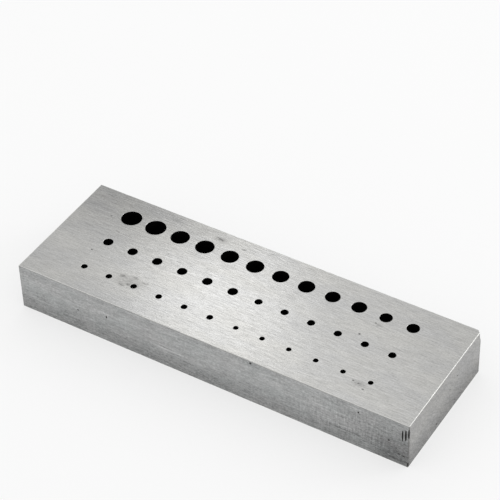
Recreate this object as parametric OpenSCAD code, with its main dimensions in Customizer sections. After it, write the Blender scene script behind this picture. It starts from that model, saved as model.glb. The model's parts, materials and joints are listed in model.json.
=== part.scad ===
// Riveting anvil: one hardened and surface ground steel block with three rows of
// graded holes. A rivet, staff or arbor drops through the hole that just clears it,
// and the rim of that hole carries the shoulder while the end is hammered over.
// Sizes are in millimetres. X runs along the rows from the large holes to the small
// ones, Y from the front face to the back one, and Z up. The origin is the middle of
// the underside, so the block stands on z = 0.

/* [Block] */
// Length of the block, along the rows of holes
block_l = 104.5; // [100:0.5:150]
// Width of the block, across the rows
block_w = 34.6; // [32:0.1:60]
// Height of the block, which is also how far each hole runs
block_h = 13; // [8:0.5:25]
// Break stoned along the eight edges of the upper face and the underside
face_edge_break = 0.25; // [0.1:0.05:1]
// Break stoned down the four upright corners
corner_break = 0.3; // [0.1:0.05:1]

/* [Hole grid] */
// Number of holes in each row
holes_per_row = 12; // [2:1:14]
// Distance between hole centres along a row
hole_pitch = 7; // [6.2:0.1:8.5]
// Distance between one row and the next
row_pitch = 10; // [6:0.5:12]
// Distance from the back face to the centres of the back row
back_margin = 7; // [4.5:0.5:9.5]

/* [Hole diameters] */
// Back row, largest pair of holes
back_d_1 = 5; // [3:0.1:6]
// Back row, second pair
back_d_2 = 4.5; // [3:0.1:6]
// Back row, third pair
back_d_3 = 4.2; // [3:0.1:6]
// Back row, fourth pair
back_d_4 = 3.9; // [3:0.1:6]
// Back row, fifth pair
back_d_5 = 3.5; // [2:0.1:6]
// Back row, smallest pair
back_d_6 = 2.9; // [2:0.1:6]
// Middle row, larger half of the holes
middle_d_1 = 2.3; // [1.5:0.1:4]
// Middle row, smaller half of the holes
middle_d_2 = 1.7; // [1:0.1:4]
// Front row, larger half of the holes
front_d_1 = 1.4; // [0.8:0.1:3]
// Front row, smaller half of the holes
front_d_2 = 1.1; // [0.8:0.1:3]
// Break at both mouths of every hole
mouth_break = 0.1; // [0.05:0.05:0.4]

/* [Hidden] */

$fn = 96;
// How far a cutter passes through the face that it opens
overshoot = 1;

// Each row is its distance from the middle of the block, then its diameters in order
back_y = block_w / 2 - back_margin;
ROWS = [
    [back_y, [back_d_1, back_d_2, back_d_3, back_d_4, back_d_5, back_d_6]],
    [back_y - row_pitch, [middle_d_1, middle_d_2]],
    [back_y - 2 * row_pitch, [front_d_1, front_d_2]],
];

// The rows are centred along the block
function hole_x(i) = (i - (holes_per_row - 1) / 2) * hole_pitch;

// The diameters of a row are shared out evenly among its holes
function hole_d(diameters, i) = diameters[floor(i * len(diameters) / holes_per_row)];

// Outline of a rectangle about the origin with its four corners cut at 45 degrees
function broken_rectangle(length, width, cut) =
    let (x = length / 2, y = width / 2)
    [
        [x - cut, -y],
        [x, -y + cut],
        [x, y - cut],
        [x - cut, y],
        [-x + cut, y],
        [-x, y - cut],
        [-x, -y + cut],
        [-x + cut, -y],
    ];

// An extrusion about the origin of a broken rectangle
module broken_bar(length, width, cut, depth) {
    linear_extrude(height = depth, center = true)
        polygon(broken_rectangle(length, width, cut));
}

// The ground block before drilling: the plan, front and end outlines crossed, so that
// all twelve edges are broken
module ground_block() {
    translate([0, 0, block_h / 2])
        intersection() {
            broken_bar(block_l, block_w, corner_break, block_h);
            rotate([90, 0, 0])
                broken_bar(block_l, block_h, face_edge_break, block_w);
            rotate([90, 0, 90])
                broken_bar(block_w, block_h, face_edge_break, block_l);
        }
}

// The drill path of one hole, with its mouths opened at 45 degrees above and below
module drill_path(diameter) {
    radius = diameter / 2;
    opened = radius + mouth_break + overshoot;
    rotate_extrude()
        polygon([
            [0, -overshoot],
            [opened, -overshoot],
            [radius, mouth_break],
            [radius, block_h - mouth_break],
            [opened, block_h + overshoot],
            [0, block_h + overshoot],
        ]);
}

// Every hole of the block, row by row from the back
module hole_grid() {
    for (row = ROWS)
        for (i = [0:holes_per_row - 1])
            translate([hole_x(i), row[0], 0])
                drill_path(hole_d(row[1], i));
}

module anvil_block() {
    color("silver")
        difference() {
            ground_block();
            hole_grid();
        }
}

anvil_block();
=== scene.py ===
"""Riveting anvil: a ground steel block with three rows of graded through holes.

The block's size and every hole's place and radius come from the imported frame. This script
gives the block its worn edges, its dents and tool marks and the finish of each of its
surfaces, and sets up a plain pale studio around it. Shapes and patterns are worked out in
millimetres from the frame's origin, and are turned into metres when a mesh is finished.
"""

from __future__ import annotations

import json
import logging
import math
from dataclasses import dataclass, field, replace
from enum import Enum
from typing import Any, Callable, Iterable, Optional, Sequence, Union

import bmesh
import bpy
from mathutils import Euler, Matrix, Vector, noise

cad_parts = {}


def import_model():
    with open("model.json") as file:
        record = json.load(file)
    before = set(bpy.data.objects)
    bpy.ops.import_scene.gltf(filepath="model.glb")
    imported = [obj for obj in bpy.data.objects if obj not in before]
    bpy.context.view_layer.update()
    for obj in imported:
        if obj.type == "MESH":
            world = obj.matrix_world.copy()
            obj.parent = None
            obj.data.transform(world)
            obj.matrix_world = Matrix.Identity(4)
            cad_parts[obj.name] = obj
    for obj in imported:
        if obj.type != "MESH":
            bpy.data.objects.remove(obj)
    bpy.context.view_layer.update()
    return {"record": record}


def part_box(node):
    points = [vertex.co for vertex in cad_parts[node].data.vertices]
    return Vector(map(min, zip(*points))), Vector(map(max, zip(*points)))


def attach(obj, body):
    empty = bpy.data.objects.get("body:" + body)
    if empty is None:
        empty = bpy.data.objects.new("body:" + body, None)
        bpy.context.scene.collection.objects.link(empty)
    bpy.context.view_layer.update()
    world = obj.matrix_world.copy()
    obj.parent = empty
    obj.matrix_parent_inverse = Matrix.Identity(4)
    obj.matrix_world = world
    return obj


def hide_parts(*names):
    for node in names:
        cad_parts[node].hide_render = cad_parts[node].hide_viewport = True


LOG = logging.getLogger("riveting_anvil")
MM = 0.001
NODE = "anvil_block"
BODY = "root"

Pair = tuple[float, float]
Triple = tuple[float, float, float]
Operand = Union["Signal", float]

WHITE = (1.0, 1.0, 1.0, 1.0)

# Blender's noise: its middle, what spreads it to about -1 to 1, and how its octaves fade
NOISE_MIDDLE = 0.5
NOISE_SPREAD = 4.0
NOISE_FADE = 0.55

# A mark has its full strength within this share of its reach or width
MARK_CORE = 0.15
# Past this share of its width a scratch is gone
MARK_RIM = 0.75
# The shares of its length over which a scratch fades in and from which it fades out
FADE_IN = 0.3
FADE_OUT = 0.6

# The turns, in degrees, of the grinding lines of the faces, of the strokes that an
# oilstone left over them, and of the grain of the ends
GRINDING = (0.0, 0.0, 0.8)
STONING = (0.0, 0.0, -7.0)
SLANT = (-38.0, 0.0, 0.0)

# A share of a quarter turn that is this close to 1 belongs to the next quarter
NEARLY = 1e-4


class Surface(Enum):
    """The surfaces of the block, in the order of its material slots."""

    FACE = 0
    FLANK = 1
    END = 2
    EDGE = 3
    CORNER = 4
    BORE = 5
    DENT = 6


class Signal:
    """One output of a material's nodes, with arithmetic that adds Math nodes."""

    def __init__(self, bench: "NodeBench", socket: bpy.types.NodeSocket) -> None:
        """Wraps an output socket of the node tree that the bench builds."""
        self.bench = bench
        self.socket = socket

    def out(self, name: Union[str, int]) -> "Signal":
        """Returns another output of the same node."""
        return Signal(self.bench, self.socket.node.outputs[name])

    def _math(self, operation: str, first: Operand, second: Operand = 0.0) -> "Signal":
        """Adds one Math node."""
        how = {"operation": operation}
        return self.bench.node("ShaderNodeMath", how, {0: first, 1: second})

    def __add__(self, other: Operand) -> "Signal":
        """Returns self + other."""
        return self._math("ADD", self, other)

    def __radd__(self, other: Operand) -> "Signal":
        """Returns other + self."""
        return self._math("ADD", other, self)

    def __sub__(self, other: Operand) -> "Signal":
        """Returns self - other."""
        return self._math("SUBTRACT", self, other)

    def __rsub__(self, other: Operand) -> "Signal":
        """Returns other - self."""
        return self._math("SUBTRACT", other, self)

    def __mul__(self, other: Operand) -> "Signal":
        """Returns self * other."""
        return self._math("MULTIPLY", self, other)

    def __rmul__(self, other: Operand) -> "Signal":
        """Returns other * self."""
        return self._math("MULTIPLY", other, self)

    def vector(self, operation: str, other: Any = (0.0, 0.0, 0.0)) -> "Signal":
        """Returns what a Vector Math node makes of this vector and another."""
        how = {"operation": operation}
        return self.bench.node("ShaderNodeVectorMath", how, {0: self, 1: other})

    def length(self) -> "Signal":
        """Returns the length of the vector."""
        return self.vector("LENGTH").out("Value")

    def axis(self, name: str) -> "Signal":
        """Returns one component, X, Y or Z, of the vector."""
        return self.bench.node("ShaderNodeSeparateXYZ", {}, {"Vector": self}).out(name)

    def size(self) -> "Signal":
        """Returns the value without its sign."""
        return self._math("ABSOLUTE", self)

    def at_most(self, other: Operand) -> "Signal":
        """Returns the smaller of the two."""
        return self._math("MINIMUM", self, other)

    def at_least(self, other: Operand) -> "Signal":
        """Returns the larger of the two."""
        return self._math("MAXIMUM", self, other)

    def ramp(self, zero: float, one: float) -> "Signal":
        """Turns a value into a smooth mask.

        Args:
            zero: The value at which the mask is 0. It may be above one.
            one: The value at which the mask is 1.

        Returns:
            The mask, from 0 to 1.
        """
        low, high = min(zero, one), max(zero, one)
        rising = zero < one
        ends = {"To Min": 0.0 if rising else 1.0, "To Max": 1.0 if rising else 0.0}
        return self.bench.node(
            "ShaderNodeMapRange",
            {"interpolation_type": "SMOOTHSTEP", "clamp": True},
            {"Value": self, "From Min": low, "From Max": high, **ends},
        )


class NodeBench:
    """The node tree of one material or of the world, and the one method that adds a node."""

    def __init__(self, owner: Union[bpy.types.Material, bpy.types.World]) -> None:
        """Starts on an emptied node tree.

        Args:
            owner: The material or world to build nodes for.
        """
        owner.use_nodes = True
        self.tree = owner.node_tree
        self.tree.nodes.clear()

    def node(self, kind: str, settings: dict[str, Any], sockets: dict[Any, Any]) -> Signal:
        """Adds one node.

        Args:
            kind: The node's type, such as ShaderNodeMath.
            settings: The node's own settings, which are set first.
            sockets: The value or signal of each input, by its name or number.

        Returns:
            The node's first output, or its first input where it has no output.
        """
        node = self.tree.nodes.new(kind)
        for name, value in settings.items():
            setattr(node, name, value)
        for name, value in sockets.items():
            if isinstance(value, Signal):
                self.tree.links.new(value.socket, node.inputs[name])
            else:
                node.inputs[name].default_value = value
        return Signal(self, node.outputs[0] if node.outputs else node.inputs[0])

    def millimetres(self) -> Signal:
        """Returns the place on the object, in millimetres from the frame's origin."""
        place = self.node("ShaderNodeTexCoord", {}, {}).out("Object")
        return self.node("ShaderNodeMapping", {}, {"Vector": place, "Scale": (1 / MM,) * 3})

    def blend(self, factor: Operand, first: Any, second: Any, how: str = "MIX") -> Signal:
        """Mixes two colours.

        Args:
            factor: How much of the second colour there is, from 0 to 1.
            first: The first colour.
            second: The second colour, or a value in place of a grey.
            how: How they mix, such as MIX or MULTIPLY.

        Returns:
            The mixed colour.
        """
        colours = [(*c, 1.0) if isinstance(c, tuple) else c for c in (first, second)]
        mixed = self.node(
            "ShaderNodeMix",
            {"data_type": "RGBA", "blend_type": how, "clamp_factor": True},
            {"Factor": factor, 6: colours[0], 7: colours[1]},
        )
        return mixed.out(2)


@dataclass(frozen=True)
class Blot:
    """A soft patch about a point, such as a stain or the painted shade of a corner.

    Attributes:
        middle: Its middle, in millimetres.
        reach: How far it reaches along X, Y and Z.
        strength: How dark it is at its middle.
    """

    middle: Triple
    reach: Triple
    strength: float

    def mask(self, place: Signal) -> Signal:
        """Returns its strength at a place, which fades to 0 at its rim."""
        share = place.vector("SUBTRACT", self.middle).vector("DIVIDE", self.reach)
        return share.length().ramp(1.0, MARK_CORE) * self.strength


@dataclass(frozen=True)
class Scratch:
    """A straight scratch or rub mark.

    Attributes:
        start: Where it starts, in millimetres.
        end: Where it ends.
        width: How wide it is.
        strength: How much lighter it is than the steel, or darker where it is below 0.
    """

    start: Triple
    end: Triple
    width: float
    strength: float

    def mask(self, place: Signal) -> Signal:
        """Makes the scratch.

        Args:
            place: The place on the object, in millimetres.

        Returns:
            Its strength, which fades out at both ends and at its sides.
        """
        whole = Vector(self.end) - Vector(self.start)
        along, length = tuple(whole.normalized()), whole.length
        offset = place.vector("SUBTRACT", self.start)
        run = offset.vector("DOT_PRODUCT", along).out("Value")
        nearest = run.at_least(0.0).at_most(length).vector("MULTIPLY", along)
        away = offset.vector("SUBTRACT", nearest).length()
        sides = away.ramp(self.width * MARK_RIM, self.width * MARK_CORE)
        ends = run.ramp(0.0, length * FADE_IN) * run.ramp(length, length * FADE_OUT)
        return sides * ends * self.strength


Mark = Union[Blot, Scratch]

# Painted shade: the ground face darkened towards the back left corner, away from its
# highlight
FACE_SHADES = (Blot((-42.0, 22.0, 13.0), (50.0, 30.0, 8.0), 0.3),)

FACE_STAINS = (
    Blot((-26.2, -9.0, 13.0), (6.0, 3.0, 2.0), 0.24),
    Blot((-28.7, -7.9, 13.0), (1.2, 0.8, 2.0), 0.4),
    Blot((-25.6, -7.1, 13.0), (1.1, 0.6, 2.0), 0.35),
    Blot((-27.5, -10.7, 13.0), (1.4, 0.6, 2.0), 0.35),
    Blot((-25.9, -9.9, 13.0), (1.0, 0.6, 2.0), 0.35),
    Blot((-22.6, -7.6, 13.0), (1.4, 0.6, 2.0), 0.3),
    Blot((-31.5, -12.3, 13.0), (0.7, 0.4, 2.0), 0.2),
    Blot((-28.3, 15.1, 13.0), (2.6, 0.9, 2.0), 0.16),
    Blot((-8.8, 14.0, 13.0), (1.0, 0.5, 2.0), 0.35),
    Blot((36.4, -11.4, 13.0), (2.6, 1.4, 2.0), 0.26),
    Blot((31.3, 7.2, 13.0), (1.4, 0.9, 2.0), 0.25),
    Blot((-15.4, 14.4, 13.0), (2.6, 1.2, 2.0), 0.25),
    # On the underside
    Blot((20.0, -4.0, 0.0), (7.0, 4.0, 2.0), 0.25),
)

FACE_RUBS = (
    Scratch((-17.2, 14.9, 13.0), (-14.2, 14.1, 13.0), 0.35, -0.3),
    Scratch((-39.6, 4.8, 13.0), (-37.6, 4.3, 13.0), 0.35, -0.25),
    Scratch((-3.4, 14.9, 13.0), (-1.2, 16.4, 13.0), 0.25, -0.3),
    Scratch((-49.5, 9.3, 13.0), (-43.5, 9.4, 13.0), 0.3, 0.14),
    Scratch((-40.5, 0.0, 13.0), (-36.5, 0.4, 13.0), 0.9, 0.07),
    Scratch((24.0, -1.0, 13.0), (37.0, -2.2, 13.0), 0.22, 0.1),
    Scratch((-12.0, -3.2, 13.0), (6.0, -2.6, 13.0), 0.2, 0.08),
    # On the underside
    Scratch((5.0, 15.0, 0.0), (-21.0, 11.0, 0.0), 0.25, 0.12),
)

SIDE_SHADES = (
    Blot((10.0, -17.3, 12.4), (26.0, 3.0, 1.6), 0.1),
    Blot((50.0, -17.3, 3.0), (11.0, 1.2, 8.0), 0.24),
    Blot((51.0, -17.3, 9.0), (26.0, 0.9, 9.0), 0.22),
    Blot((-50.0, -17.3, 12.0), (9.0, 0.9, 3.5), 0.1),
    Blot((-52.0, 0.0, 2.0), (5.0, 9.0, 4.0), 0.12),
)

SIDE_RUBS = (
    # On the front
    Scratch((-16.0, -17.3, 5.6), (-3.0, -17.3, 5.5), 0.45, 0.34),
    Scratch((-38.0, -17.3, 8.7), (-15.5, -17.3, 8.9), 0.6, 0.16),
    Scratch((27.5, -17.3, 8.4), (36.0, -17.3, 8.4), 0.4, 0.24),
    Scratch((31.0, -17.3, 3.7), (42.0, -17.3, 3.7), 0.45, -0.25),
    # On the back
    Scratch((-30.0, 17.3, 7.0), (-12.0, 17.3, 6.4), 0.4, 0.14),
    Scratch((22.0, 17.3, 4.0), (31.0, 17.3, 4.4), 0.35, 0.12),
)

# Painted shade on the lower parts of the rounded front and right end edges, to narrow their
# highlight
EDGE_SHADES = (
    Blot((0.0, -17.35, 12.8), (400.0, 0.33, 0.33), 0.62),
    Blot((52.3, 0.0, 12.8), (0.33, 200.0, 0.33), 0.25),
)


@dataclass(frozen=True)
class Effect:
    """How strongly a pattern or mask shows in each layer of a finish.

    Attributes:
        tone: How much it adds to the brightness, which is 1 on even steel.
        rough: How much it adds to the roughness.
        relief: How far it stands out, in millimetres.
    """

    tone: float = 0.0
    rough: float = 0.0
    relief: float = 0.0


@dataclass(frozen=True)
class Grain:
    """One random pattern on the steel.

    Attributes:
        size: Its grain along each of its own axes, in millimetres.
        effect: How strongly it shows.
        shift: How far it is shifted, so that no two patterns coincide.
        detail: How many finer octaves it has.
        turn_deg: The turn of its axes, in degrees.
    """

    size: Triple
    effect: Effect
    shift: Triple
    detail: float = 2.0
    turn_deg: Triple = (0.0, 0.0, 0.0)

    def pattern(self, place: Signal) -> Signal:
        """Makes the pattern.

        Args:
            place: The place on the object, in millimetres.

        Returns:
            A value about 0, mostly between -1 and 1.
        """
        bench = place.bench
        turn = tuple(math.radians(-angle) for angle in self.turn_deg)
        laid = bench.node("ShaderNodeMapping", {}, {"Vector": place, "Rotation": turn})
        scale = tuple(1 / size for size in self.size)
        grains = bench.node(
            "ShaderNodeMapping", {}, {"Vector": laid, "Scale": scale, "Location": self.shift}
        )
        value = bench.node(
            "ShaderNodeTexNoise",
            {"noise_dimensions": "3D"},
            {"Vector": grains, "Scale": 1.0, "Detail": self.detail, "Roughness": NOISE_FADE},
        )
        return (value - NOISE_MIDDLE) * NOISE_SPREAD


class Coat:
    """The layers of one finish while they are laid: brightness, roughness and relief."""

    def __init__(self, place: Signal, roughness: float) -> None:
        """Starts with even steel.

        Args:
            place: The place on the object, in millimetres.
            roughness: The steel's middle roughness.
        """
        self.place = place
        self.level: Operand = 1.0
        self.roughness: Operand = roughness
        self.height: Operand = 0.0

    def add(self, value: Signal, effect: Effect) -> Signal:
        """Adds a pattern or mask to each layer in which it shows.

        Args:
            value: The pattern or mask.
            effect: How strongly it shows.

        Returns:
            The same pattern or mask.
        """
        if effect.tone:
            self.level = value * effect.tone + self.level
        if effect.rough:
            self.roughness = value * effect.rough + self.roughness
        if effect.relief:
            self.height = value * effect.relief + self.height
        return value

    def lay(self, grain: Grain) -> Signal:
        """Lays a grain and returns its pattern."""
        return self.add(grain.pattern(self.place), grain.effect)

    def sum_of(self, marks: Sequence[Mark]) -> Signal:
        """Returns the summed strength of one mark or more."""
        first, *rest = (mark.mask(self.place) for mark in marks)
        return sum(rest, first)


@dataclass(frozen=True)
class Steel:
    """What every steel finish of the block has.

    Attributes:
        name: The material's name.
        cool: The steel's colour where it is coolest, before its grain and marks.
        warm: Its colour where it is warmest.
        roughness: The middle roughness of the surface.
        clouds: The softest pattern, which also says where the steel is warmer.
        grains: The finer patterns.
        shades: The darker places: painted shade on the ground face and along the edges,
            darker patches on the sides and ends.
        shade_effect: How strongly they show.
        rubs: The rubs and scratches.
        rub_effect: How strongly they show.
        warm_span: How far the clouds go from 0 where the steel is coolest and warmest.
    """

    name: str
    cool: Triple
    warm: Triple
    roughness: float
    clouds: Grain
    grains: tuple[Grain, ...] = ()
    shades: tuple[Blot, ...] = ()
    shade_effect: Effect = Effect(tone=-1.0)
    rubs: tuple[Scratch, ...] = ()
    rub_effect: Effect = Effect(tone=1.0)
    warm_span: float = 1.0

    def material(self) -> bpy.types.Material:
        """Builds the finish as a material.

        Returns:
            The material.
        """
        material = bpy.data.materials.new(self.name)
        bench = NodeBench(material)
        coat = Coat(bench.millimetres(), self.roughness)
        steel = bench.blend(self.lay(coat), self.cool, self.warm)
        normal = bench.node("ShaderNodeBump", {}, {"Height": coat.height, "Distance": MM})
        shader = bench.node(
            "ShaderNodeBsdfPrincipled",
            {},
            {
                "Base Color": bench.blend(1.0, steel, coat.level, "MULTIPLY"),
                "Metallic": 1.0,
                "Roughness": coat.roughness,
                "Normal": normal,
            },
        )
        bench.node("ShaderNodeOutputMaterial", {}, {"Surface": shader})
        return material

    def lay(self, coat: Coat) -> Signal:
        """Lays the grain and the marks of the finish.

        Args:
            coat: The coat to lay them on.

        Returns:
            Where the steel is warmer, from 0 to 1.
        """
        for grain in self.grains:
            coat.lay(grain)
        # The shades: painted shade on the ground face and along the edges, darker patches on
        # the sides and ends
        if self.shades:
            coat.add(coat.sum_of(self.shades), self.shade_effect)
        if self.rubs:
            coat.add(coat.sum_of(self.rubs), self.rub_effect)
        return coat.lay(self.clouds).ramp(-self.warm_span, self.warm_span)


@dataclass(frozen=True)
class GroundFace(Steel):
    """The two ground faces: fine lines along the block, grit, soft clouds and stains.

    Attributes:
        stains: The stains.
        stain_effect: How strongly they show.
        specks: The specks that break the stains up.
        speck_span: The values of the specks where a stain is weakest and where it is full.
        speck_share: How much of a stain is missing where it is weakest.
    """

    clouds: Grain = Grain(
        (15.0, 6.0, 20.0), Effect(tone=0.035, rough=0.02), (4.0, 4.0, 4.0), 3.0, GRINDING
    )
    grains: tuple[Grain, ...] = (
        # Bands, dashes and threads along the block
        Grain((30.0, 1.8, 30.0), Effect(tone=0.02), (3.1, 0.0, 0.0), 2.0, GRINDING),
        Grain((2.7, 0.3, 6.0), Effect(0.125, -0.02, 0.004), (0.0, 5.2, 0.0), 3.0, GRINDING),
        Grain(
            (6.0, 0.17, 6.0), Effect(tone=0.1, relief=0.0016), (9.4, 0.0, 0.0), 2.0, GRINDING
        ),
        # Strokes over them
        Grain(
            (3.4, 0.42, 6.0), Effect(tone=0.055, relief=0.0025), (1.0, 8.0, 0.0), 2.0, STONING
        ),
        # Grit
        Grain(
            (0.5, 0.34, 0.5), Effect(tone=0.12, relief=0.0008), (0.0, 2.0, 6.0), 2.0, GRINDING
        ),
    )
    # Painted shade towards the back left corner of the upper ground face
    shades: tuple[Blot, ...] = FACE_SHADES
    rubs: tuple[Scratch, ...] = FACE_RUBS
    rub_effect: Effect = Effect(tone=1.0, relief=-0.004)
    warm_span: float = 0.8
    stains: tuple[Blot, ...] = FACE_STAINS
    stain_effect: Effect = Effect(tone=-1.0, rough=0.3)
    specks: Grain = Grain((0.8, 0.5, 0.8), Effect(), (7.0, 7.0, 0.0), 3.0, (0.0, 0.0, 15.0))
    speck_span: Pair = (-0.6, 0.5)
    speck_share: float = 0.6

    def lay(self, coat: Coat) -> Signal:
        """Lays the stains, broken up by specks, and then the rest. See Steel.lay."""
        specks = self.specks.pattern(coat.place).ramp(*self.speck_span)
        held = specks * self.speck_share + (1 - self.speck_share)
        coat.add(coat.sum_of(self.stains) * held, self.stain_effect)
        return super().lay(coat)


@dataclass(frozen=True)
class DullSide(Steel):
    """The sides and ends: mottled grey steel with streaks, and painted shade near the
    underside.

    Attributes:
        hairs: The upright hair lines.
        hair_patch: Where they are strongest.
        hair_rest: How strong they are elsewhere.
        pits: The pattern whose peaks are small pits.
        pit_span: Its values where a pit begins and where it is full.
        foot_shade_top: The height above the underside at which the painted shade ends.
        foot_shade_effect: How strongly that painted shade shows.
    """

    clouds: Grain = Grain(
        (9.0, 9.0, 4.0), Effect(tone=0.05, rough=0.03), (2.0, 0.0, 5.0), 3.0
    )
    grains: tuple[Grain, ...] = (
        # Mottle, streaks and grit
        Grain((3.4, 3.4, 0.55), Effect(0.19, -0.03, 0.01), (5.0, 1.0, 0.0), 3.0),
        Grain((5.0, 5.0, 0.5), Effect(tone=0.09, relief=0.005), (0.0, 6.0, 2.0), 3.0),
        Grain((0.62, 0.62, 0.26), Effect(tone=0.27, relief=0.003), (1.0, 3.0, 0.0)),
    )
    shades: tuple[Blot, ...] = SIDE_SHADES
    rubs: tuple[Scratch, ...] = SIDE_RUBS
    hairs: Grain = Grain((0.34, 0.34, 3.2), Effect(tone=0.2, relief=0.003), (1.0, 1.0, 9.0))
    hair_patch: Blot = Blot((36.0, -17.3, 6.5), (18.0, 8.0, 9.0), 1.0)
    hair_rest: float = 0.15
    pits: Grain = Grain((0.7, 0.7, 0.55), Effect(tone=-0.28, relief=-0.02), (3.0, 3.0, 3.0))
    pit_span: Pair = (1.0, 1.5)
    foot_shade_top: float = 8.5
    foot_shade_effect: Effect = Effect(tone=-0.32, rough=0.04)

    def lay(self, coat: Coat) -> Signal:
        """Lays the hair lines, the pits and the painted shade near the underside, and then
        the rest. See Steel.lay.
        """
        strength = self.hair_patch.mask(coat.place) + self.hair_rest
        hair = self.hairs.pattern(coat.place) * strength
        coat.add(hair, self.hairs.effect)
        pit = self.pits.pattern(coat.place).ramp(*self.pit_span)
        coat.add(pit, self.pits.effect)
        # Painted shade: darker towards the underside, as the shadowed floor near it is
        # reflected
        coat.add(coat.place.axis("Z").ramp(self.foot_shade_top, 0.0), self.foot_shade_effect)
        return super().lay(coat)


@dataclass(frozen=True)
class StonedEdge(Steel):
    """The breaks that a stone leaves on the edges: soft wear under short strokes."""

    clouds: Grain = Grain((5.0, 5.0, 5.0), Effect(tone=0.08, rough=0.04), (6.0, 0.0, 2.0))
    grains: tuple[Grain, ...] = (
        Grain((0.6, 0.6, 0.6), Effect(0.09, 0.04, 0.003), (0.0, 4.0, 0.0), 3.0),
    )


@dataclass(frozen=True)
class ShadedBore(Steel):
    """The walls of the holes: painted shade, a near black steel over the rings that a drill
    leaves. It also darkens the dents.
    """

    clouds: Grain = Grain((1.0, 1.0, 1.4), Effect(0.35, 0.06, 0.004), (4.0, 0.0, 1.0), 3.0)
    grains: tuple[Grain, ...] = (
        Grain((6.0, 6.0, 0.16), Effect(tone=0.2, relief=0.006), (0.0, 0.0, 3.0)),
    )


# The mottle, streaks and grit of the ends
END_GRAINS = (
    Grain((1.6, 2.0, 0.7), Effect(0.11, -0.03, 0.01), (5.0, 1.0, 0.0), 3.0, SLANT),
    Grain((3.0, 3.6, 0.34), Effect(tone=0.09, relief=0.005), (0.0, 6.0, 2.0), 3.0, SLANT),
    Grain((0.6, 0.62, 0.36), Effect(tone=0.24, relief=0.003), (1.0, 3.0, 0.0), 2.0, SLANT),
)


def finishes() -> dict[Surface, Steel]:
    """Sets out the finishes.

    Returns:
        The finish of each surface of the block.
    """
    return {
        Surface.FACE: GroundFace(
            "ground_face", (0.42, 0.42, 0.415), (0.43, 0.427, 0.413), 0.24
        ),
        Surface.FLANK: DullSide(
            "dull_flank", (0.42, 0.431, 0.428), (0.432, 0.432, 0.43), 0.44
        ),
        # Painted shade: the ends take a darker grey than the sides, which are the same steel
        Surface.END: DullSide(
            "dull_end",
            (0.385, 0.385, 0.383),
            (0.4, 0.396, 0.384),
            0.44,
            clouds=replace(DullSide.clouds, turn_deg=SLANT),
            grains=END_GRAINS,
            hair_patch=Blot((-52.25, -6.0, 6.5), (18.0, 8.0, 9.0), 1.0),
        ),
        # Painted highlight: the edges and the rims of the holes take a lighter steel than the
        # faces, on top of their stoned wear
        Surface.EDGE: StonedEdge(
            # Painted shade on the lower parts of the front and right end edges
            "stoned_edge", (0.68, 0.68, 0.67), (0.69, 0.685, 0.66), 0.28, shades=EDGE_SHADES
        ),
        # Painted shade: a dark steel down the upright corners, for the dark that they
        # reflect; the same steel darkens the pits
        Surface.CORNER: StonedEdge(
            "upright_corner", (0.2, 0.2, 0.2), (0.25, 0.248, 0.24), 0.45
        ),
        # Painted shade: the walls of the holes are near black, as the shade inside them
        Surface.BORE: ShadedBore(
            "scaled_bore", (0.006, 0.006, 0.007), (0.01, 0.009, 0.008), 0.6
        ),
        Surface.DENT: ShadedBore("dark_dent", (0.05, 0.05, 0.05), (0.09, 0.088, 0.084), 0.55),
    }


def mesh_object(
    name: str, shape: bmesh.types.BMesh, materials: Iterable[bpy.types.Material]
) -> bpy.types.Object:
    """Turns a shape into an object of the scene.

    Args:
        name: The name of the object and of its mesh.
        shape: The shape, which is freed.
        materials: The object's materials, in the order of its slots.

    Returns:
        The object, at the origin.
    """
    data = bpy.data.meshes.new(name)
    shape.to_mesh(data)
    shape.free()
    for material in materials:
        data.materials.append(material)
    made = bpy.data.objects.new(name, data)
    bpy.context.scene.collection.objects.link(made)
    return made


@dataclass(frozen=True)
class Hole:
    """One through hole of the block, in millimetres.

    Attributes:
        x: Its centre along the block.
        y: Its centre across the block.
        radius: The radius of its wall.
    """

    x: float
    y: float
    radius: float

    def beside(self, point: Vector, out: float, height: float) -> Vector:
        """Returns the nearest point of a ring at a height, some way outside the wall."""
        away = Vector((point.x - self.x, point.y - self.y, 0.0)).normalized()
        return Vector((self.x, self.y, height)) + away * (self.radius + out)


@dataclass(frozen=True)
class Cell:
    """The rectangle of the ground face around one hole, in millimetres.

    Attributes:
        hole: The hole.
        left: The rectangle's left side.
        right: Its right side.
        front: Its front side.
        back: Its back side.
    """

    hole: Hole
    left: float
    right: float
    front: float
    back: float

    def on_border(self, corner: Vector) -> Vector:
        """Moves a point of a circle about the hole out to the cell's border.

        Each quarter of the circle, from one diagonal to the next, spreads evenly over one
        side, so that the points of neighbouring cells meet.

        Args:
            corner: The point on the circle.

        Returns:
            The point on the border, at the same height.
        """
        turn = math.atan2(corner.y - self.hole.y, corner.x - self.hole.x)
        quarters = (math.degrees(turn) + 45.0) % 360.0 / 90.0
        side, share = divmod(quarters, 1.0)
        if 1.0 - share < NEARLY:
            side, share = side + 1, 0.0
        across = (self.right - self.left) * share
        along = (self.back - self.front) * share
        x, y = {
            0: (self.right, self.front + along),
            1: (self.right - across, self.back),
            2: (self.left, self.back - along),
            3: (self.left + across, self.front),
        }[int(side) % 4]
        return Vector((x, y, corner.z))


def holes_of(record: dict[str, Any]) -> list[Hole]:
    """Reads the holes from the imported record.

    Args:
        record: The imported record, whose bore mounts are the block's holes.

    Returns:
        The holes, in the record's order.
    """
    return [
        Hole(mount["pos_m"][0] / MM, mount["pos_m"][1] / MM, mount["dims"]["r_mm"])
        for mount in record["mounts"]
        if mount["kind"] == "bore"
    ]


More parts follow.
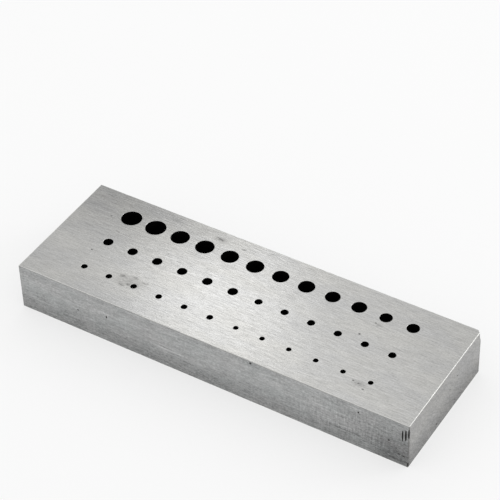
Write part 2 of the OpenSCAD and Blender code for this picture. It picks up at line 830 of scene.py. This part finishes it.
def midpoints(places: Sequence[float]) -> list[float]:
    """Finds the points halfway between neighbours.

    Args:
        places: The places of the neighbours, in order.

    Returns:
        The halfway points, with one half a pitch before the first place and one half a
        pitch past the last.
    """
    inner = [(a + b) / 2 for a, b in zip(places, places[1:])]
    first = places[0] - (places[1] - places[0]) / 2
    last = places[-1] + (places[-1] - places[-2]) / 2
    return [first, *inner, last]


@dataclass(frozen=True)
class Dent:
    """A small hollow in the block, left by a blow, a tool or rust.

    Attributes:
        middle: The middle of the ball that cuts it, in millimetres.
        reach: The ball's half size along X, Y and Z.
        surface: The finish inside the hollow.
        rough: How uneven the ball is, as a share of its size.
    """

    middle: Triple
    reach: Triple
    surface: Surface = Surface.DENT
    rough: float = 0.12


DENTS: tuple[Dent, ...] = (
    # Pits in the upper ground face
    Dent((28.8, 2.6, 13.1), (0.32, 0.3, 0.22), Surface.CORNER),
    Dent((-40.4, -3.9, 13.1), (0.26, 0.24, 0.2), Surface.CORNER),
    Dent((30.3, 7.6, 13.08), (0.3, 0.2, 0.16), Surface.CORNER),
    Dent((-43.3, 8.7, 13.08), (0.3, 0.2, 0.16), Surface.CORNER),
    Dent((-15.2, 14.4, 13.1), (0.36, 0.24, 0.2), Surface.CORNER),
    Dent((34.8, -11.0, 13.1), (0.34, 0.26, 0.2), Surface.CORNER),
    Dent((36.3, -11.3, 13.09), (0.3, 0.22, 0.17), Surface.CORNER),
    Dent((38.0, -12.4, 13.1), (0.4, 0.2, 0.18), Surface.CORNER),
    # Two upright strokes of a tool beside the front right corner
    Dent((50.66, -17.32, 9.4), (0.2, 0.32, 1.75), rough=0.05),
    Dent((51.44, -17.32, 9.85), (0.25, 0.36, 1.75), rough=0.05),
    # Nicks down the front right corner
    Dent((52.2, -17.25, 10.6), (0.27, 0.27, 1.5)),
    Dent((52.2, -17.25, 7.6), (0.24, 0.24, 0.9), Surface.CORNER),
    Dent((52.2, -17.25, 4.8), (0.22, 0.22, 0.7), Surface.CORNER),
    Dent((52.2, -17.25, 3.1), (0.24, 0.24, 0.5), Surface.CORNER),
    Dent((52.2, -17.25, 1.0), (0.28, 0.28, 0.6)),
    # Pits and bruises of the front
    Dent((-27.4, -17.4, 7.9), (0.2, 0.24, 0.4)),
    Dent((39.7, -17.4, 11.0), (0.26, 0.24, 0.3)),
    Dent((51.1, -17.4, 3.1), (0.45, 0.22, 0.22)),
    Dent((47.3, -17.4, 6.3), (0.3, 0.23, 0.28)),
    Dent((-35.6, -17.4, 6.4), (0.3, 0.22, 0.2)),
    Dent((12.0, -17.4, 12.3), (0.3, 0.24, 0.3)),
    # The chipped corner at the back right, and small chips of the end
    Dent((52.75, 17.8, 13.2), (1.35, 1.5, 3.6), Surface.END, 0.08),
    Dent((52.4, -3.9, 1.8), (0.24, 0.45, 0.3)),
    Dent((52.4, 5.8, 8.7), (0.22, 0.34, 0.24)),
    Dent((52.4, 2.2, 7.3), (0.2, 0.3, 0.22)),
    # The far side, which has been knocked about as much
    Dent((-52.35, -9.0, 13.1), (0.3, 0.5, 0.35)),
    Dent((-52.4, 5.0, 8.0), (0.24, 0.3, 0.4)),
    Dent((-20.0, 17.4, 12.95), (0.7, 0.3, 0.3), Surface.EDGE),
    Dent((33.0, 17.4, 9.0), (0.4, 0.24, 0.3)),
    Dent((-41.0, 17.42, 3.6), (0.3, 0.24, 0.4)),
    Dent((10.5, 17.4, 0.1), (0.8, 0.32, 0.3), Surface.EDGE),
)


@dataclass(frozen=True)
class Dents:
    """All the dents of the block, cut from it in one go.

    Attributes:
        dents: The dents.
        roundness: How often the ball that cuts a dent is subdivided.
        lumps: How closely the lumps of a ball follow each other.
        seed_steps: How far their pattern shifts along X and Y from one ball to the next.
        seed_rise: How far it is shifted along Z.
    """

    dents: tuple[Dent, ...] = DENTS
    roundness: int = 3
    lumps: float = 1.3
    seed_steps: Pair = (3.7, 1.3)
    seed_rise: float = 5.0

    def cut_from(self, block: bpy.types.Object) -> None:
        """Cuts the dents from a block whose mesh is in millimetres.

        Args:
            block: The block. Its materials are in the order of Surface.
        """
        cutter = self._balls(block.data.materials)
        modifier = block.modifiers.new("dents", "BOOLEAN")
        modifier.operation = "DIFFERENCE"
        modifier.solver = "EXACT"
        modifier.material_mode = "INDEX"
        modifier.object = cutter
        graph = bpy.context.evaluated_depsgraph_get()
        cut = bpy.data.meshes.new_from_object(block.evaluated_get(graph), depsgraph=graph)
        block.modifiers.clear()
        whole = block.data
        block.data = cut
        bpy.data.meshes.remove(whole)
        balls = cutter.data
        bpy.data.objects.remove(cutter)
        bpy.data.meshes.remove(balls)
        LOG.info("cut %d dents", len(self.dents))

    def _balls(self, materials: Iterable[bpy.types.Material]) -> bpy.types.Object:
        """Makes the uneven balls that cut the dents.

        Args:
            materials: The materials of the block, in the order of Surface.

        Returns:
            The balls, as one object.
        """
        mesh = bmesh.new()
        for number, dent in enumerate(self.dents):
            ball = bmesh.ops.create_icosphere(mesh, subdivisions=self.roundness, radius=1.0)
            points = ball["verts"]
            seed = Vector((*(number * step for step in self.seed_steps), self.seed_rise))
            for point in points:
                point.co *= 1.0 + dent.rough * noise.noise(point.co * self.lumps + seed)
            size = Matrix.Diagonal((*dent.reach, 1.0))
            bmesh.ops.transform(
                mesh, matrix=Matrix.Translation(dent.middle) @ size, verts=points
            )
            for face in {face for point in points for face in point.link_faces}:
                face.material_index = dent.surface.value
                face.smooth = True
        return mesh_object("dent_balls", mesh, materials)


@dataclass(frozen=True)
class Wear:
    """One kind of uneven wear along the edges.

    Attributes:
        depth: How deep it goes, in millimetres.
        pace: How fast it changes along the edge, in lumps per millimetre.
        shift: How far its pattern is shifted.
        sound: Where it only chips the edge, the height that its pattern has to pass.
    """

    depth: float
    pace: float
    shift: Triple
    sound: Optional[float] = None

    def at(self, place: Vector) -> float:
        """Returns how deep the wear is at a place."""
        height = noise.noise(place * self.pace + Vector(self.shift))
        return self.depth * (height if self.sound is None else max(0.0, height - self.sound))


# Long even wear, small chips, and the finest unevenness
EDGE_WEAR = (
    Wear(0.03, 0.16, (3.0, 7.0, 1.0)),
    Wear(0.14, 0.9, (8.0, 2.0, 5.0), sound=0.25),
    Wear(0.02, 2.3, (1.0, 4.0, 9.0)),
)


@dataclass
class AnvilBlock:
    """The drilled and ground block, in millimetres.

    Attributes:
        low: The block's lowest corner.
        high: The block's highest corner.
        holes: Every hole of the block.
        mouth_break: The break at a hole's mouths.
        rim: The outermost part of that break, in the lighter edge steel, which paints its
            highlight.
        edge_break: The break along the edges of the two ground faces.
        corner_break: The break down the upright corners.
        side_steps: How many points one side of a hole's cell has.
        step: The spacing of points down the sides and over the margins.
        merge: Points closer than this are one.
        sharp_deg: The angle from which an edge stays sharp.
        fold_deg: The angle from which an edge belongs to the block's outline.
        round_steps: How many facets a rounded edge has across it.
        wear: The kinds of wear along the edges.
        name: The name of the finished object.
        mesh: The block's shape while it is built.
    """

    low: Vector
    high: Vector
    holes: list[Hole]
    mouth_break: float = 0.13
    rim: float = 0.03
    edge_break: float = 0.17
    corner_break: float = 0.18
    side_steps: int = 16
    step: float = 0.46
    merge: float = 0.002
    sharp_deg: float = 40.0
    fold_deg: float = 60.0
    round_steps: int = 3
    wear: tuple[Wear, ...] = EDGE_WEAR
    name: str = "riveting_anvil_block"
    mesh: bmesh.types.BMesh = field(init=False, repr=False)

    def build(self, dressing: dict[Surface, bpy.types.Material]) -> bpy.types.Object:
        """Builds the block and dresses it.

        Args:
            dressing: The material of each surface.

        Returns:
            The finished object, in metres.
        """
        self.mesh = bmesh.new()
        for cell in self.cells():
            self._drill(cell)
        self._weld()
        self._lay_margins()
        self._drop_sides()
        self._mirror_half()
        self._break_edges()
        self._wear_edges()
        block = self._as_object(dressing)
        Dents().cut_from(block)
        self._finish(block)
        LOG.info("%s: %d faces", block.name, len(block.data.polygons))
        return block

    @property
    def top(self) -> float:
        """The height of the ground face over the block's middle."""
        return (self.high.z - self.low.z) / 2

    def cells(self) -> list[Cell]:
        """Divides the ground face into one cell for each hole.

        Returns:
            The cells, which together cover the face from front to back, and from half a
            pitch before the first hole of a row to half a pitch past the last.
        """
        rows: dict[float, list[Hole]] = {}
        for hole in self.holes:
            rows.setdefault(round(hole.y, 3), []).append(hole)
        across = sorted(rows)
        borders = [self.low.y, *midpoints(across)[1:-1], self.high.y]
        cells = []
        for y, front, back in zip(across, borders, borders[1:]):
            row = sorted(rows[y], key=lambda hole: hole.x)
            sides = midpoints([hole.x for hole in row])
            for hole, left, right in zip(row, sides, sides[1:]):
                cells.append(Cell(hole, left, right, front, back))
        return cells

    def _extrude(
        self,
        edges: Iterable[bmesh.types.BMEdge],
        place: Callable[[Vector], Vector],
        surface: Surface,
    ) -> list[bmesh.types.BMEdge]:
        """Extrudes a run of edges and puts its new points in place.

        Args:
            edges: The edges to extrude.
            place: Says where a point goes.
            surface: The surface that the new faces belong to.

        Returns:
            The new edges that run beside the old ones.
        """
        made = bmesh.ops.extrude_edge_only(self.mesh, edges=list(edges))["geom"]
        points = {item for item in made if isinstance(item, bmesh.types.BMVert)}
        for point in points:
            point.co = place(point.co)
        for item in made:
            if isinstance(item, bmesh.types.BMFace):
                item.material_index = surface.value
        return [
            item
            for item in made
            if isinstance(item, bmesh.types.BMEdge) and set(item.verts) <= points
        ]

    def _drill(self, cell: Cell) -> None:
        """Makes the upper half of one hole's wall, its mouth, and the face around it.

        Args:
            cell: The hole's cell.
        """
        hole = cell.hole
        centre = Vector((hole.x, hole.y, 0.0))
        start = Matrix.Translation(centre) @ Matrix.Rotation(math.radians(45), 4, "Z")
        ring = bmesh.ops.create_circle(
            self.mesh,
            cap_ends=False,
            segments=4 * self.side_steps,
            radius=hole.radius,
            matrix=start,
        )
        edges = {edge for point in ring["verts"] for edge in point.link_edges}
        cut, rim = self.mouth_break, self.rim
        steps = (
            (0.0, self.top - cut, Surface.BORE),
            (cut - rim, self.top - rim, Surface.BORE),
            (cut, self.top, Surface.EDGE),
        )
        for out, height, surface in steps:
            edges = self._extrude(
                edges, lambda point: hole.beside(point, out, height), surface
            )
        self._extrude(edges, cell.on_border, Surface.FACE)

    def _weld(self) -> None:
        """Joins points that meet."""
        bmesh.ops.remove_doubles(self.mesh, verts=self.mesh.verts[:], dist=self.merge)

    def _open_edges(self, where: Callable[[Vector], bool]) -> list[bmesh.types.BMEdge]:
        """Finds open edges.

        Args:
            where: The test that both points of an edge have to pass.

        Returns:
            The edges.
        """
        return [
            edge
            for edge in self.mesh.edges
            if edge.is_boundary and all(where(point.co) for point in edge.verts)
        ]

    def _lay_margins(self) -> None:
        """Carries the face on from the outer holes' cells to both ends of the block."""
        for end in (self.low.x, self.high.x):
            start = max((point.co.x for point in self.mesh.verts), key=lambda x: x * end)
            edges = self._open_edges(lambda place: abs(place.x - start) < self.merge)
            steps = round(abs(end - start) / self.step)
            for count in range(1, steps + 1):
                x = start + (end - start) * count / steps
                edges = self._extrude(
                    edges, lambda place: Vector((x, place.y, place.z)), Surface.FACE
                )

    def _drop_sides(self) -> None:
        """Drops the four sides from the face's outline to the block's middle height."""
        edges = self._open_edges(lambda place: place.z > self.top - self.merge)
        steps = round(self.top / self.step)
        for count in range(1, steps + 1):
            z = self.top * (1 - count / steps)
            edges = self._extrude(
                edges, lambda place: Vector((place.x, place.y, z)), Surface.FLANK
            )
        for face in self.mesh.faces:
            if face.material_index == Surface.FLANK.value:
                if self._outer(face.calc_center_median())[0]:
                    face.material_index = Surface.END.value

    def _mirror_half(self) -> None:
        """Makes the lower half from the upper one, and points every face outwards."""
        whole = self.mesh.verts[:] + self.mesh.edges[:] + self.mesh.faces[:]
        bmesh.ops.mirror(
            self.mesh, geom=whole, matrix=Matrix.Identity(4), merge_dist=self.merge, axis="Z"
        )
        self._weld()
        bmesh.ops.recalc_face_normals(self.mesh, faces=self.mesh.faces[:])

    def _insets(self, place: Vector) -> list[float]:
        """Returns how far a point lies inside the ends, the sides and the ground faces."""
        sizes = (self.high.x, self.high.y, self.top)
        return [size - abs(at) for size, at in zip(sizes, place)]

    def _outer(self, place: Vector) -> list[bool]:
        """Says whether a point lies on an end, on a side and on a ground face."""
        return [inset < self.merge for inset in self._insets(place)]

    def _break_edges(self) -> None:
        """Rounds the upright corners, and then the edges of the two ground faces."""
        upright = [
            edge
            for edge in self.mesh.edges
            if all(self._outer(point.co)[:2] == [True, True] for point in edge.verts)
        ]
        self._bevel(upright, self.corner_break, Surface.CORNER)
        outline = [
            edge
            for edge in self.mesh.edges
            if edge.calc_face_angle(0.0) > math.radians(self.fold_deg)
            and all(self._outer(point.co)[2] for point in edge.verts)
        ]
        self._bevel(outline, self.edge_break, Surface.EDGE)

    def _bevel(self, edges: list[bmesh.types.BMEdge], width: float, surface: Surface) -> None:
        """Rounds edges over.

        Args:
            edges: The edges.
            width: How much of each face beside them goes.
            surface: The surface that the rounding belongs to.
        """
        made = bmesh.ops.bevel(
            self.mesh,
            geom=edges,
            offset=width,
            offset_type="OFFSET",
            segments=self.round_steps,
            profile=0.5,
            affect="EDGES",
            material=-1,
        )
        for face in made["faces"]:
            face.material_index = surface.value

    def _wear_edges(self) -> None:
        """Pushes the rounded edges in by uneven amounts."""
        worn = {Surface.EDGE.value, Surface.CORNER.value}
        reach = max(self.edge_break, self.corner_break) + 2 * self.merge
        for point in self.mesh.verts:
            if worn.isdisjoint(face.material_index for face in point.link_faces):
                continue
            insets = self._insets(point.co)
            near = [i for i, inset in enumerate(insets) if inset < reach]
            total = sum(insets[i] for i in near)
            if len(near) < 2 or total < self.merge:
                continue
            amount = max(0.0, sum(wear.at(point.co) for wear in self.wear))
            for i in near:
                point.co[i] -= math.copysign(amount * insets[i] / total, point.co[i])

    def _as_object(self, dressing: dict[Surface, bpy.types.Material]) -> bpy.types.Object:
        """Turns the mesh into an object at its place in the frame.

        Args:
            dressing: The material of each surface.

        Returns:
            The object, still in millimetres.
        """
        rise = Matrix.Translation((0.0, 0.0, self.low.z + self.top))
        bmesh.ops.transform(self.mesh, matrix=rise, verts=self.mesh.verts[:])
        return mesh_object(self.name, self.mesh, (dressing[surface] for surface in Surface))

    def _finish(self, block: bpy.types.Object) -> None:
        """Smooths each surface, keeps the lines between two sharp, and turns to metres.

        Args:
            block: The block, in millimetres.
        """
        mesh = bmesh.new()
        mesh.from_mesh(block.data)
        limit = math.radians(self.sharp_deg)
        for face in mesh.faces:
            face.smooth = True
        for edge in mesh.edges:
            kinds = {face.material_index for face in edge.link_faces}
            edge.smooth = len(kinds) == 1 and edge.calc_face_angle(math.pi) < limit
        bmesh.ops.scale(mesh, vec=(MM,) * 3, verts=mesh.verts[:])
        mesh.to_mesh(block.data)
        mesh.free()
        block.data.name = block.name


@dataclass(frozen=True)
class Softbox:
    """A square soft lamp that is aimed at the block.

    Attributes:
        name: The lamp's name.
        place: Where it hangs, in metres.
        side: The length of its sides, in metres.
        level: How bright its face is, where white paper in full light is 1.
    """

    name: str
    place: Triple
    side: float
    level: float

    def hang(self, target: Vector) -> None:
        """Hangs the lamp.

        Args:
            target: The place that it is turned to, in metres.
        """
        data = bpy.data.lights.new(self.name, "AREA")
        data.shape = "SQUARE"
        data.size = self.side
        data.energy = self.level * math.pi * self.side**2
        lamp = bpy.data.objects.new(self.name, data)
        place = Vector(self.place)
        turn = (target - place).to_track_quat("-Z", "Y").to_matrix().to_4x4()
        lamp.matrix_world = Matrix.Translation(place) @ turn
        lamp.visible_camera = False
        bpy.context.scene.collection.objects.link(lamp)


@dataclass(frozen=True)
class Viewpoint:
    """The camera: where it looks, from which side, and through which lens.

    Attributes:
        aim: The point on the ground face at the middle of the picture, in metres.
        azimuth_deg: How far to the right of the block's front the camera stands.
        elevation_deg: How far above the horizon it stands.
        roll_deg: How far it leans to the right.
        distance: How far it stands from the point it aims at, in metres.
        lens_mm: Its focal length.
        sensor_mm: The width of its sensor.
        clip: The nearest and farthest that it sees, in metres.
    """

    aim: Triple = (-0.0076, 0.0147, 0.013)
    azimuth_deg: float = 32.63
    elevation_deg: float = 41.5
    roll_deg: float = 1.82
    distance: float = 0.4805
    lens_mm: float = 145.75
    sensor_mm: float = 36.0
    clip: Pair = (0.01, 20.0)

    def set_up(self) -> None:
        """Makes the camera and makes it the scene's camera."""
        tilt = Euler((math.radians(90.0 - self.elevation_deg), 0.0, 0.0)).to_matrix()
        swing = Matrix.Rotation(math.radians(self.azimuth_deg), 3, "Z")
        roll = Matrix.Rotation(math.radians(-self.roll_deg), 3, "Z")
        turn = swing @ tilt @ roll
        data = bpy.data.cameras.new("camera")
        data.lens = self.lens_mm
        data.sensor_width = self.sensor_mm
        data.clip_start, data.clip_end = self.clip
        camera = bpy.data.objects.new("camera", data)
        place = Vector(self.aim) + turn @ Vector((0.0, 0.0, self.distance))
        camera.matrix_world = Matrix.Translation(place) @ turn.to_4x4()
        bpy.context.scene.collection.objects.link(camera)
        bpy.context.scene.camera = camera


@dataclass(frozen=True)
class Studio:
    """The pale floor, the soft light and the camera.

    Attributes:
        view: The camera's place.
        lamps: The soft lamps.
        floor_side: The length of the floor's sides, in metres.
        backdrop: The level of the background as the camera and the steel see it.
        ambient: The level of the light that comes from all round.
        floor_colour: The floor's own grey.
        under_colour: Its darker grey under the block, painted shade where only the holes show
            it.
        floor_lift: How far the camera and the steel see the floor as white.
        tucked: How far under the block the floor's painted shade begins, in millimetres.
    """

    view: Viewpoint = Viewpoint()
    lamps: tuple[Softbox, ...] = (
        Softbox("key_softbox", (-0.127, 0.174, 0.218), 0.05, 1.76),
        Softbox("fill_softbox", (-0.0715, 0.170, 0.226), 0.07, 0.34),
        Softbox("rim_softbox", (0.42, 0.39, 0.26), 0.2, 3.0),
    )
    floor_side: float = 6.0
    backdrop: float = 1.0
    ambient: float = 0.95
    floor_colour: float = 0.9
    under_colour: float = 0.2
    floor_lift: float = 0.6
    tucked: float = 1.0

    def set_up(self, low: Vector, high: Vector) -> None:
        """Builds the studio around the block.

        Args:
            low: The block's lowest corner, in metres.
            high: Its highest corner.
        """
        self._lay_floor(high)
        self._light_world()
        for lamp in self.lamps:
            lamp.hang((low + high) / 2)
        self.view.set_up()
        bpy.context.scene.view_settings.view_transform = "Standard"

    @staticmethod
    def _shown(bench: NodeBench) -> Signal:
        """Tells rays that show the background: camera, mirror and clear ones.

        Args:
            bench: The bench of the material or world that they reach.

        Returns:
            1 for these rays and 0 for others.
        """
        path = bench.node("ShaderNodeLightPath", {}, {})
        shown = path.out("Is Camera Ray") + path.out("Is Glossy Ray")
        return (shown + path.out("Is Transmission Ray")).at_most(1.0)

    def _open_floor(self, bench: NodeBench, corner: Vector) -> Signal:
        """Returns 1 for the floor around the block and 0 for the floor under it.

        Args:
            bench: The bench of the floor's material.
            corner: The block's highest corner, in metres.

        Returns:
            The mask, which keeps the floor that is seen through the holes in the dark.
        """
        place = bench.millimetres()
        past_end = place.axis("X").size() - corner.x / MM
        past_side = place.axis("Y").size() - corner.y / MM
        return past_end.at_least(past_side).ramp(-self.tucked, 0.0)

    def _lay_floor(self, corner: Vector) -> None:
        """Lays the floor, which keeps the block's shadow and has painted shade under the
        block, but is otherwise seen as white.

        Args:
            corner: The block's highest corner, in metres.
        """
        mesh = bmesh.new()
        bmesh.ops.create_grid(mesh, x_segments=1, y_segments=1, size=self.floor_side / 2)
        material = bpy.data.materials.new("pale_floor")
        bench = NodeBench(material)
        bare = self._open_floor(bench, corner)
        # Painted shade: the floor under the block is dark grey, as it lies in the block's
        # shadow
        grey = bench.blend(bare, (self.under_colour,) * 3, (self.floor_colour,) * 3)
        paper = bench.node("ShaderNodeBsdfDiffuse", {}, {"Color": grey, "Roughness": 0.0})
        white = bench.node("ShaderNodeEmission", {}, {"Color": WHITE})
        lift = self._shown(bench) * bare * self.floor_lift
        shader = bench.node("ShaderNodeMixShader", {}, {0: lift, 1: paper, 2: white})
        bench.node("ShaderNodeOutputMaterial", {}, {"Surface": shader})
        mesh_object("floor", mesh, [material])

    def _light_world(self) -> None:
        """Lights the world evenly, and shows it to the camera and the steel as white."""
        world = bpy.data.worlds.new("studio")
        bpy.context.scene.world = world
        bench = NodeBench(world)
        strength = self._shown(bench) * (self.backdrop - self.ambient) + self.ambient
        light = bench.node("ShaderNodeBackground", {}, {"Color": WHITE, "Strength": strength})
        bench.node("ShaderNodeOutputWorld", {}, {"Surface": light})


def main() -> None:
    """Loads the frame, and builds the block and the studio."""
    logging.basicConfig(level=logging.INFO, format="%(name)s: %(message)s")
    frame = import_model()
    low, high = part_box(NODE)
    dressing = {surface: steel.material() for surface, steel in finishes().items()}
    block = AnvilBlock(low / MM, high / MM, holes_of(frame["record"])).build(dressing)
    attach(block, BODY)
    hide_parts(NODE)
    Studio().set_up(low, high)


if __name__ == "__main__":
    main()
